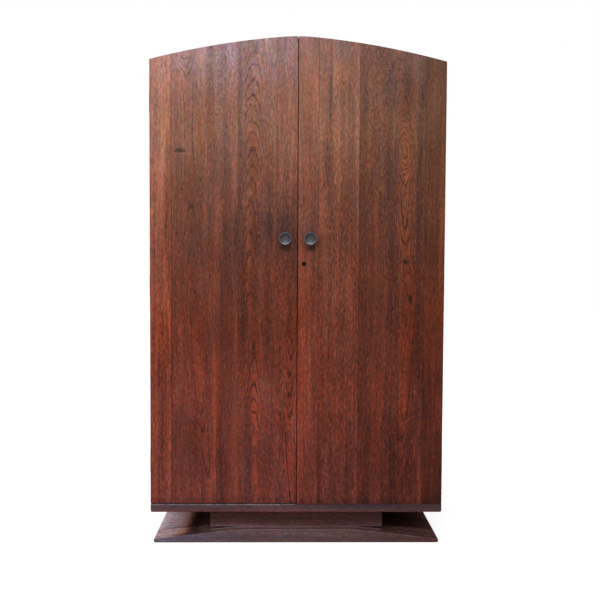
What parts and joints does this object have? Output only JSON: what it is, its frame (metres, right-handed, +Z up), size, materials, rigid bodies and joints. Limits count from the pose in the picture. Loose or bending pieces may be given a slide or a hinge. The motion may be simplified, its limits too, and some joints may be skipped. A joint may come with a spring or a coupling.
{
  "type": "wardrobe",
  "caption": "Tall wooden wardrobe with an arched top, hinged front doors with round knobs and a keyhole, on a low sledge base.",
  "frame": {"origin": "centre of the bounding box at floor level", "axes": "+Z up; the doors face -Y; +X to the right as seen from the front"},
  "size_m": [1.0752, 0.536, 1.83],
  "materials": {
    "door_wood": "red-brown stained open-grained boards with a worn wax sheen",
    "case_wood": "red-brown stained boards, worn and dull",
    "base_wood": "worn purplish grey-brown stain",
    "back_wood": "thinly stained upright boards",
    "inner_wood": "bare waxed wood",
    "ebonised_knob": "turned and ebonised, satin",
    "hinge_brass": "aged brass",
    "lock_iron": "dark waxed iron",
    "screw_steel": "plain steel, dulled"
  },
  "bodies": {
    "case": {"back_board_1": "back_wood", "back_board_2": "back_wood", "back_board_3": "back_wood", "back_board_4": "back_wood", "back_board_5": "back_wood", "base_plank_1": "base_wood", "base_plank_2": "base_wood", "base_plank_3": "base_wood", "bolt_keepers": "lock_iron", "bottom_board": "case_wood", "case_screws": "screw_steel", "hanging_rail": "inner_wood", "hat_shelf": "inner_wood", "hinge_case_leaves": "hinge_brass", "hinge_case_screws": "screw_steel", "hinge_pins": "hinge_brass", "rail_sockets": "inner_wood", "riser_back_board": "base_wood", "riser_front_board": "base_wood", "riser_glue_blocks": "base_wood", "riser_left_end": "base_wood", "riser_right_end": "base_wood", "shelf_cleats": "inner_wood", "side_left": "case_wood", "side_right": "case_wood", "top_back_rail": "inner_wood", "top_front_rail": "inner_wood", "top_stave_1": "case_wood", "top_stave_2": "case_wood", "top_stave_3": "case_wood", "top_stave_4": "case_wood", "top_stave_5": "case_wood"},
    "left_door": {"bolt_barrels": "lock_iron", "left_batten_bottom": "inner_wood", "left_batten_middle": "inner_wood", "left_batten_top": "inner_wood", "left_door_screws": "screw_steel", "left_hinge_leaves": "hinge_brass", "left_inner_board": "door_wood", "left_knob": "ebonised_knob", "left_knob_screw": "screw_steel", "left_meeting_board": "door_wood", "left_outer_board": "door_wood", "left_wide_board": "door_wood", "lock_keeper": "lock_iron"},
    "bottom_bolt": {"bottom_bolt": "lock_iron"},
    "lock_bolt": {"lock_bolt": "lock_iron"},
    "right_door": {"lock_case": "lock_iron", "right_batten_bottom": "inner_wood", "right_batten_middle": "inner_wood", "right_batten_top": "inner_wood", "right_door_screws": "screw_steel", "right_hinge_leaves": "hinge_brass", "right_inner_board": "door_wood", "right_knob": "ebonised_knob", "right_knob_screw": "screw_steel", "right_meeting_board": "door_wood", "right_outer_board": "door_wood", "right_wide_board": "door_wood"},
    "top_bolt": {"top_bolt": "lock_iron"}
  },
  "joints": [
    {"name": "left_door_hinge", "type": "hinge", "parent": "case", "child": "left_door", "pos_m": [-0.534, -0.2175, 0.94], "axis": [0, 0, -1], "range_deg": [0, 180]},
    {"name": "right_door_hinge", "type": "hinge", "parent": "case", "child": "right_door", "pos_m": [0.534, -0.2175, 0.94], "axis": [0, 0, 1], "range_deg": [0, 180]},
    {"name": "top_bolt_slide", "type": "slide", "parent": "left_door", "child": "top_bolt", "axis": [0, 0, 1], "range_m": [0, 0.014]},
    {"name": "bottom_bolt_slide", "type": "slide", "parent": "left_door", "child": "bottom_bolt", "axis": [0, 0, -1], "range_m": [0, 0.014]},
    {"name": "lock_bolt_slide", "type": "slide", "parent": "right_door", "child": "lock_bolt", "axis": [-1, 0, 0], "range_m": [0, 0.012]}
  ]
}
